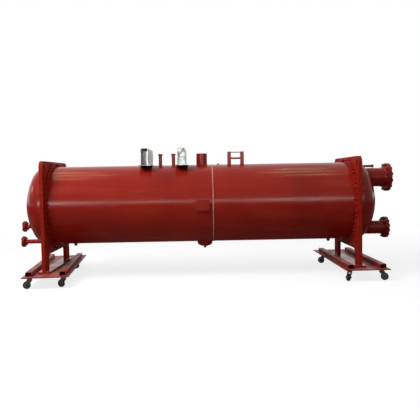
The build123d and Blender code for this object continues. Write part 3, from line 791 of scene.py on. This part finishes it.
def leg_welds():
    """Beads round the legs where they stand on the foot plates."""
    for side in ("left", "right"):
        low, high = box(f"tube_sheet_{side}")
        points = np.array([v.co for v in frame["nodes"][f"tube_sheet_{side}"].data.vertices])
        feet = points[points[:, 2] < low[2] + 0.001]
        inner = np.abs(feet[:, 1] - AXIS_Y).min()
        shapes = []
        for low_y, high_y in ((low[1], AXIS_Y - inner), (AXIS_Y + inner, high[1])):
            path = foot_on_plate(low[0], high[0], low_y, high_y, low[2])
            shapes.append(bead(*path, SMALL_FILLET_HALF_WIDTH, SMALL_FILLET_HALF_HEIGHT))
        build(f"leg_beads_{side}", shapes, THICK_PAINT, "vessel", 60)


def dolly_axes(side):
    """Middle, crosswise and lengthwise directions of a dolly, from its swivel joints."""
    spots = {j["name"]: np.array(j["pos_m"]) for j in frame["joints"] if j["name"].endswith("swivel")}
    front_left, front_right, back_left, back_right = (
        spots[f"{side}_{corner}_swivel"] for corner in CORNERS)
    across = unit(front_right - front_left)
    along = unit(back_left - front_left)
    return (front_left + front_right + back_left + back_right) / 4, across, along


def rail_stitches():
    """Short beads along both foot edges of each rail."""
    for side in ("left_dolly", "right_dolly"):
        middle, across, along = dolly_axes(side)
        points = np.array([v.co for v in frame["nodes"][f"{side}_rails"].data.vertices]) - middle
        u = points @ across
        v = points @ along
        z = points[:, 2].min() + middle[2]
        edges = (u.min(), u[u < 0].max(), u[u > 0].min(), u.max())
        outer = (-1, 1, -1, 1)
        starts = np.linspace(v.min() + STITCH_LENGTH, v.max() - 2 * STITCH_LENGTH, STITCH_COUNT)
        shapes = []
        for edge, way in zip(edges, outer):
            for start in starts:
                steps = np.linspace(start, start + STITCH_LENGTH, 8)[:, None]
                path = middle + edge * across + steps * along
                path[:, 2] = z
                outward = np.tile(unit(way * across + np.array([0, 0, 1.0])), (8, 1))
                section = (SMALL_FILLET_HALF_WIDTH, SMALL_FILLET_HALF_HEIGHT)
                shapes.append(bead(path, outward, *section, closed=False))
        build(f"{side}_rail_stitches", shapes, DOLLY_PAINT, "vessel", 60)


def rim_face():
    """Ring in the wheel's recess, its face lifted by ribs: h = H + k max(0, cos n a)^2 b(r)."""
    angles = angles_round(60)
    radii = np.array([RIM_INNER, RIM_INNER, RIM_INNER + 0.0015, RIM_OUTER - 0.003, RIM_OUTER, RIM_OUTER])
    heights = np.array([
        0, RIM_THICKNESS - 0.0005, RIM_THICKNESS, RIM_THICKNESS * 0.7, RIM_THICKNESS * 0.5, 0])
    weight = np.array([0, 0, 1.0, 0.8, 0, 0])
    ribs = RIM_RIB * np.maximum(0, np.cos(RIM_RIB_COUNT * angles)) ** 2
    rings = turned(radii[:, None], heights[:, None] + weight[:, None] * ribs, angles)
    return skin(rings[::-1], closed=True)


def caster_details():
    """Rims on the wheels, axle nuts on the forks, dust rings and bolts under the top plates."""
    joints = {j["name"]: j for j in frame["joints"]}
    for side in ("left_dolly", "right_dolly"):
        middle, across, along = dolly_axes(side)
        plate_shapes = []
        for corner in CORNERS:
            roll = joints[f"{side}_{corner}_roll"]
            hub = np.array([roll["pos_m"]])
            axle = unit(np.array([roll["axis"]], float))
            fork = f"{side}_fork_{corner}"
            points = np.array([v.co for v in frame["nodes"][fork].data.vertices])
            cheek = np.abs((points - hub) @ axle[0]).max()
            rims, nuts = [], []
            for way in (-1.0, 1.0):
                spin = rng.uniform(0, np.pi, 1)
                rims.append(copies(rim_face(), hub + way * axle * RECESS_FLOOR, way * axle, spin))
                nuts += [copies(part, hub + way * axle * cheek, way * axle, spin)
                         for part in nut(AXLE_THREAD_RADIUS)]
            build(f"{side}_rim_{corner}", rims, RIM, f"{side}_wheel_{corner}")
            build(f"{side}_axle_nuts_{corner}", nuts, ZINC, fork)
            swivel = np.array(joints[f"{side}_{corner}_swivel"]["pos_m"])
            race_top = points[:, 2].max()
            end_radius = DUST_RING_RADIUS * 0.93
            ring = copies(
                round_bar((end_radius, DUST_RING_RADIUS, DUST_RING_RADIUS, end_radius),
                          (0, DUST_RING_HEIGHT * 0.3, DUST_RING_HEIGHT * 0.7, DUST_RING_HEIGHT), 40),
                np.array([[swivel[0], swivel[1], race_top - 2 * DUST_RING_HEIGHT]]),
                np.array([[0, 0, 1.0]]), np.zeros(1))
            build(f"{side}_dust_ring_{corner}", [ring], ZINC, fork)
            bottom = race_top + 0.001
            for x_way in (-1, 1):
                for y_way in (-1, 1):
                    spot = swivel + x_way * PLATE_BOLT_SIDE * across + y_way * PLATE_BOLT_END * along
                    place = np.array([[spot[0], spot[1], bottom]])
                    plate_shapes += [copies(part, place, np.array([[0, 0, -1.0]]), rng.uniform(0, np.pi, 1))
                                     for part in nut(PLATE_BOLT_RADIUS)]
        build(f"{side}_plate_bolts", plate_shapes, ZINC, "vessel")


def nameplate_rivets():
    """Four round-headed rivets near the corners of the blank nameplate stand-off."""
    low, high = box("nameplate_bracket")
    heights = np.linspace(0, RIVET_HEIGHT, 5)
    radii = RIVET_RADIUS * np.sqrt(1 - (heights / RIVET_HEIGHT * 0.96) ** 2)
    rivet = round_bar(radii, heights, 16)
    places = np.array([[x, low[1], z]
                       for x in (low[0] + RIVET_INSET, high[0] - RIVET_INSET)
                       for z in (low[2] + RIVET_INSET, high[2] - RIVET_INSET)])
    shape = copies(rivet, places, np.tile([0, -1.0, 0], (4, 1)), np.zeros(4))
    build("nameplate_rivets", [shape], THICK_PAINT, "vessel")


def add_lamp(name, place, target, width, height, level, streak_colour=None):
    """Soft lamp, placed and aimed from the shell's axis; level is its brightness, where white is 1.

    A streak colour makes it an oval lamp that only shows in glossy surfaces, and
    without one it only lights them and isn't mirrored in them.
    """
    data = bpy.data.lights.new(name, "AREA")
    data.shape = "ELLIPSE" if streak_colour else "RECTANGLE"
    data.size = width
    data.size_y = height
    data.energy = level * math.pi * width * height
    data.color = streak_colour or (1, 1, 1)
    lamp = bpy.data.objects.new(name, data)
    lamp.location = AXIS + place
    lamp.rotation_euler = (Vector(target) - Vector(place)).to_track_quat("-Z", "Y").to_euler()
    lamp.visible_diffuse = streak_colour is None
    lamp.visible_glossy = streak_colour is not None
    bpy.context.scene.collection.objects.link(lamp)
    return lamp


def studio():
    """Pale floor, white backdrop and soft lamps."""
    add_lamp("key_lamp", *KEY_LAMP)
    add_lamp("overhead_lamp", *OVERHEAD_LAMP)
    for number, (x, length, level) in enumerate(WINDOWS):
        place = (x, *WINDOW_PLACE)
        add_lamp(f"window_{number}", place, (x, 0, 0), length, WINDOW_HEIGHT, level, PALE_LIGHT)
    side_light = (*SIDE_WINDOW_SIZE, SIDE_WINDOW_LEVEL, PALE_LIGHT)
    add_lamp("side_window", SIDE_WINDOW, SIDE_WINDOW_TARGET, *side_light)
    for number, (x, y, length) in enumerate(ROOF_STRIPS):
        place = (x, y, ROOF_HEIGHT)
        add_lamp(f"roof_strip_{number}", place, (x, y, 0), length, ROOF_STRIP_WIDTH, ROOF_LEVEL, WARM_LIGHT)

    world = bpy.data.worlds.new("white_backdrop")
    bpy.context.scene.world = world
    world.use_nodes = True
    tree = world.node_tree
    background = tree.nodes["Background"]
    background.inputs["Color"].default_value = (1, 1, 1, 1)
    path = tree.nodes.new("ShaderNodeLightPath")
    seen = tree.nodes.new("ShaderNodeMath")
    seen.operation = "MAXIMUM"
    tree.links.new(path.outputs["Is Camera Ray"], seen.inputs[0])
    tree.links.new(path.outputs["Is Glossy Ray"], seen.inputs[1])
    through = tree.nodes.new("ShaderNodeMath")
    through.operation = "MAXIMUM"
    tree.links.new(seen.outputs["Value"], through.inputs[0])
    tree.links.new(path.outputs["Is Transmission Ray"], through.inputs[1])
    level = tree.nodes.new("ShaderNodeMapRange")
    level.inputs["To Min"].default_value = WORLD_LEVEL
    level.inputs["To Max"].default_value = 1.0
    tree.links.new(through.outputs["Value"], level.inputs["Value"])
    tree.links.new(level.outputs["Result"], background.inputs["Strength"])

    t = angles_round(96)
    ring = np.stack([np.cos(t), np.sin(t), np.zeros_like(t)], axis=1) * FLOOR_RADIUS
    mesh = bpy.data.meshes.new("pale_floor")
    mesh.from_pydata(ring.tolist(), [], [list(range(len(t)))])
    floor = bpy.data.objects.new("pale_floor", mesh)
    bpy.context.scene.collection.objects.link(floor)
    mesh.materials.append(floor_finish())


def floor_finish():
    """Pale floor that keeps the shadow near the object and fades to white further out."""
    look = Finish("pale_floor_paint")
    tree = look.tree
    tree.nodes.remove(look.surface)
    output = tree.nodes["Material Output"]
    grain = look.blend(look.noise(3.0, 5.0), (0.36, 0.36, 0.36, 1), (0.40, 0.40, 0.40, 1))
    plain = look.node("ShaderNodeBsdfDiffuse", {}, {"Color": grain}).outputs["BSDF"]
    glow = look.node("ShaderNodeEmission", {}, {"Strength": 0.80}).outputs["Emission"]
    white = look.node("ShaderNodeEmission", {}, {"Strength": 1.0}).outputs["Emission"]
    near = look.node("ShaderNodeAddShader", {}, {0: plain, 1: glow}).outputs["Shader"]
    distance = look.node("ShaderNodeVectorMath", {"operation": "LENGTH"}, {0: look.place}).outputs["Value"]
    far = look.between(distance, FLOOR_NEAR, FLOOR_FAR)
    shown = look.node("ShaderNodeMixShader", {}, {"Fac": far, 1: near, 2: white}).outputs["Shader"]
    camera = look.node("ShaderNodeLightPath").outputs["Is Camera Ray"]
    mixed = look.node("ShaderNodeMixShader", {}, {"Fac": camera, 1: plain, 2: shown}).outputs["Shader"]
    tree.links.new(mixed, output.inputs["Surface"])
    return look.material


def add_camera():
    """Camera at the photograph's place and angle."""
    data = bpy.data.cameras.new("photo_camera")
    data.lens = CAMERA_LENS
    data.sensor_width = 36
    camera = bpy.data.objects.new("photo_camera", data)
    yaw = Euler((0, 0, math.radians(CAMERA_YAW))).to_matrix()
    pitch = Euler((math.radians(CAMERA_PITCH), 0, 0)).to_matrix()
    roll = Euler((0, 0, math.radians(CAMERA_ROLL))).to_matrix()
    camera.rotation_euler = (yaw @ pitch @ roll).to_euler()
    camera.location = AXIS + CAMERA_FROM_AXIS
    bpy.context.scene.collection.objects.link(camera)
    bpy.context.scene.camera = camera


paint_nodes()
sheet_studs()
flange_bolts()
shell_welds()
head_welds()
top_welds()
leg_welds()
rail_stitches()
caster_details()
nameplate_rivets()
add_camera()
studio()
bpy.context.scene.view_settings.view_transform = "Standard"
